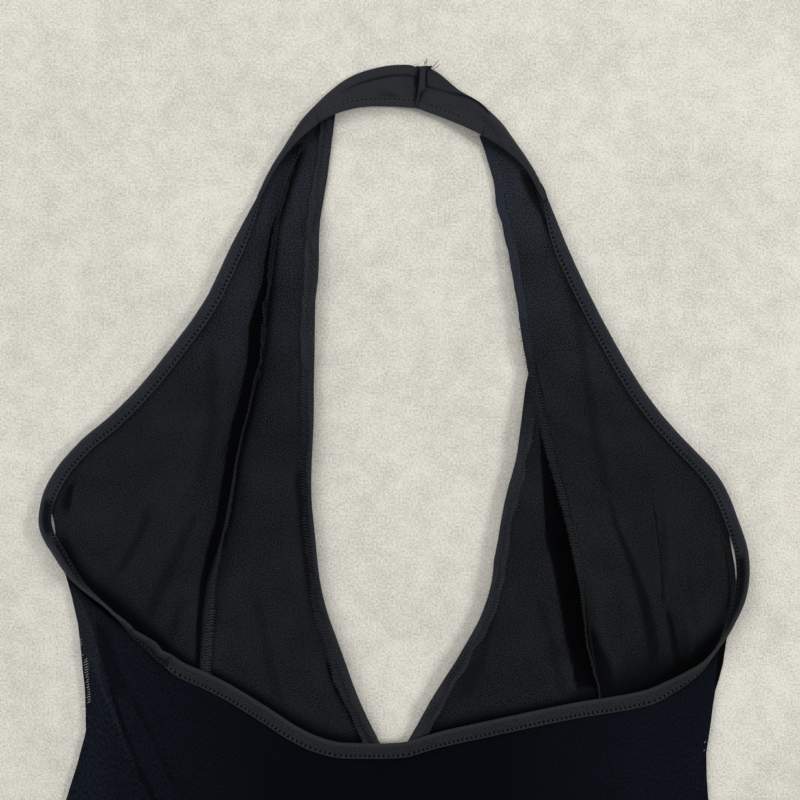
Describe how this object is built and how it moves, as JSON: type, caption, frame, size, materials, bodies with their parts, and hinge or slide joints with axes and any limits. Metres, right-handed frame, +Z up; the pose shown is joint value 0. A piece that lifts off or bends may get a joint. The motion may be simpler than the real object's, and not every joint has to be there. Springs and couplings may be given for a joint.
{
  "type": "bodysuit",
  "caption": "Halter-neck bodysuit of black stretch jersey with a plunging front and a low back, laid flat face down so that the inside of its front shows above the back.",
  "frame": {"origin": "middle of the footprint on the surface that the garment lies on", "axes": "+X across the garment as it lies, +Y from the crotch to the nape, +Z up from the surface"},
  "size_m": [0.4235, 0.6899, 0.0103],
  "materials": {
    "jersey_inside": "matt knit, wrong side",
    "jersey_outside": "matt knit, right side",
    "jersey_binding": "matt folded bias strip",
    "overlock_thread": "matt knit under looped thread"
  },
  "bodies": {
    "root": {"armhole_binding_left": "jersey_binding", "armhole_binding_right": "jersey_binding", "back": "jersey_outside", "back_binding": "jersey_binding", "front_center_left": "jersey_inside", "front_center_right": "jersey_inside", "front_side_left": "jersey_inside", "front_side_right": "jersey_inside", "leg_binding_left": "jersey_binding", "leg_binding_right": "jersey_binding", "nape_seam": "overlock_thread", "neckline_hem_left": "overlock_thread", "neckline_hem_right": "overlock_thread", "princess_allowance_left": "overlock_thread", "princess_allowance_right": "overlock_thread", "strap_binding_left": "jersey_binding", "strap_binding_right": "jersey_binding", "strap_hem_right": "jersey_inside", "strap_left": "jersey_outside", "strap_right": "jersey_outside"}
  },
  "joints": []
}
